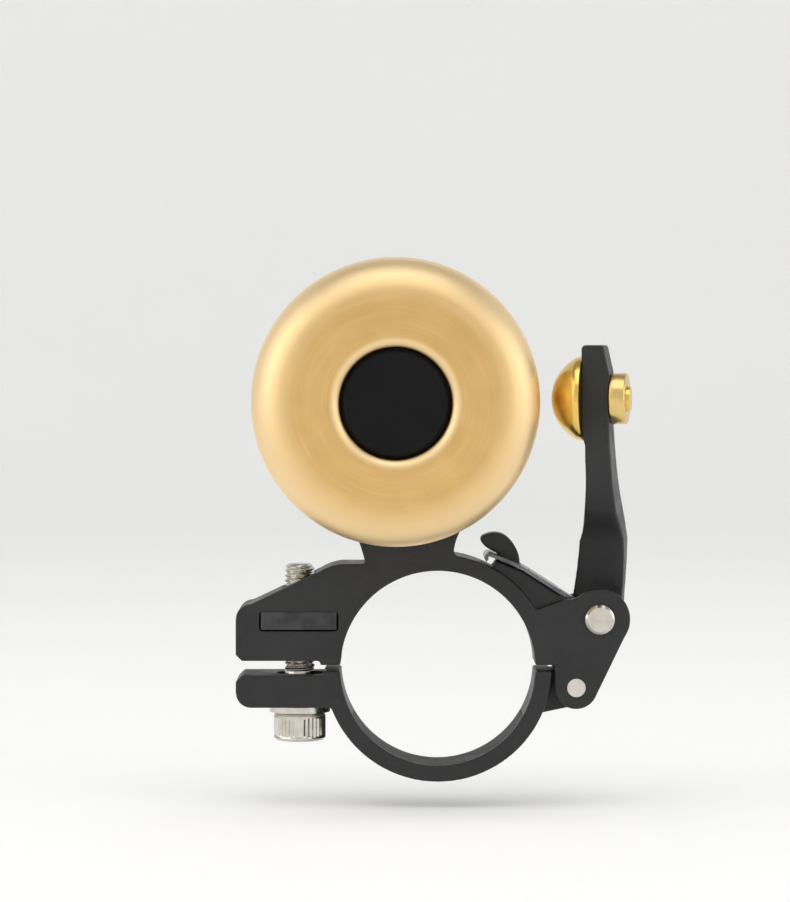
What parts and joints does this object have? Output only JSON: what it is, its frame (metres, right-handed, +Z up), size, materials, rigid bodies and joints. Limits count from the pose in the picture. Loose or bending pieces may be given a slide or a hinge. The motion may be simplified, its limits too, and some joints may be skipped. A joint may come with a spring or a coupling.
{
  "type": "bicycle bell",
  "caption": "Brass striker bell on a hinged handlebar clamp, with a sprung thumb lever whose round hammer hits the dome from the side.",
  "frame": {"origin": "centre of the handlebar clamp's bore, midway along its width", "axes": "+Y along the bore, from the dome's side to the rear; the dome faces -Y; +Z up from the bar to the dome; +X towards the hammer arm"},
  "size_m": [0.0644, 0.0332, 0.0856],
  "materials": {
    "black_plastic": "satin black glass-filled nylon with a fine texture",
    "dome_brass": "satin brass, brushed round the axis",
    "hammer_brass": "polished brass",
    "plated_steel": "bright zinc or nickel plate",
    "black_steel": "blackened steel",
    "spring_steel": "rolled spring steel",
    "cap_plastic": "matte black moulded plastic",
    "bush_plastic": "natural acetal",
    "rubber": "matte black rubber"
  },
  "bodies": {
    "bracket": {"bracket_body": "black_plastic", "nut_plate": "black_steel", "bell_dome": "dome_brass", "dome_cap": "cap_plastic", "dome_screw": "plated_steel", "dome_washer": "plated_steel", "dome_grommet": "rubber", "dome_sleeve": "plated_steel", "post_insert": "hammer_brass", "leaf_spring": "spring_steel", "arm_pivot_pin": "plated_steel", "pivot_clip": "spring_steel", "jaw_hinge_pin": "plated_steel"},
    "hammer": {"hammer_arm": "black_plastic", "hammer_head": "hammer_brass", "hammer_collar": "hammer_brass", "arm_bush_front": "bush_plastic", "arm_bush_rear": "bush_plastic"},
    "jaw": {"lower_jaw": "black_plastic", "jaw_grip_pad": "rubber"},
    "washer": {"clamp_washer": "plated_steel"},
    "screw": {"clamp_screw": "plated_steel"}
  },
  "joints": [
    {"name": "hammer_swing", "type": "hinge", "parent": "bracket", "child": "hammer", "pos_m": [0.0264, 0, 0.008], "axis": [0, 1, 0], "range_deg": [-2.3, 25], "stiffness_Nm_per_rad": 0.05, "deforming": ["leaf_spring"]},
    {"name": "clamp_washer_slide", "type": "slide", "parent": "bracket", "child": "washer", "axis": [0, 0, -1], "range_m": [0, 0.0072]},
    {"name": "clamp_screw_turn", "type": "hinge", "parent": "washer", "child": "screw", "pos_m": [-0.0227, 0, -0.0077], "axis": [0, 0, -1], "range_deg": [0, 3240]},
    {"name": "jaw_open", "type": "hinge", "parent": "bracket", "child": "jaw", "pos_m": [0.0226, 0, -0.0032], "axis": [0, -1, 0], "range_deg": [0, 8]}
  ],
  "couplings": [
    {"joint": "clamp_screw_turn", "follows": "clamp_washer_slide", "rad_per_m": 7854},
    {"joint": "jaw_open", "follows": "clamp_washer_slide", "rad_per_m": 18.85}
  ]
}
